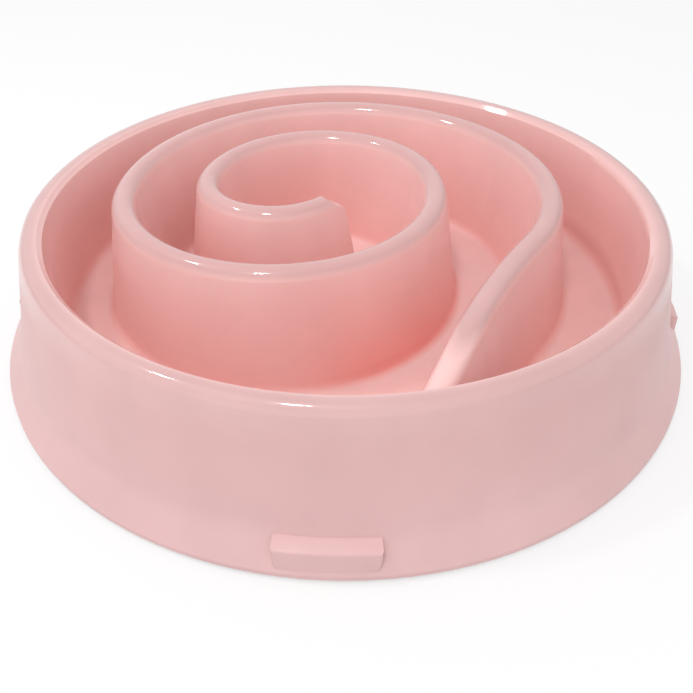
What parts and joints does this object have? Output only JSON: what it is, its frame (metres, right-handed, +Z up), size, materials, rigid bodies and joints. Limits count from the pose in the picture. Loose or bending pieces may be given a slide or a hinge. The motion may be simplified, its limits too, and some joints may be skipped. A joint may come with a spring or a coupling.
{
  "type": "slow feeder bowl",
  "caption": "Round moulded pet bowl with a flared skirt and a hollow spiral ridge that slows eating, on rubber feet.",
  "frame": {"origin": "middle of the bowl, on the surface that the feet's soles stand on", "axes": "+Z up; -Y towards the viewer of the picture, the side where the ridge's straight arm runs into the rim; +X to the viewer's right"},
  "size_m": [0.2198, 0.2198, 0.046],
  "materials": {
    "bowl_plastic": "glossy, slightly translucent pale pink",
    "foot_rubber": "soft matt, pale grey"
  },
  "bodies": {
    "root": {"bowl": "bowl_plastic", "foot_front": "foot_rubber", "foot_right": "foot_rubber", "foot_back": "foot_rubber", "foot_left": "foot_rubber"}
  },
  "joints": []
}
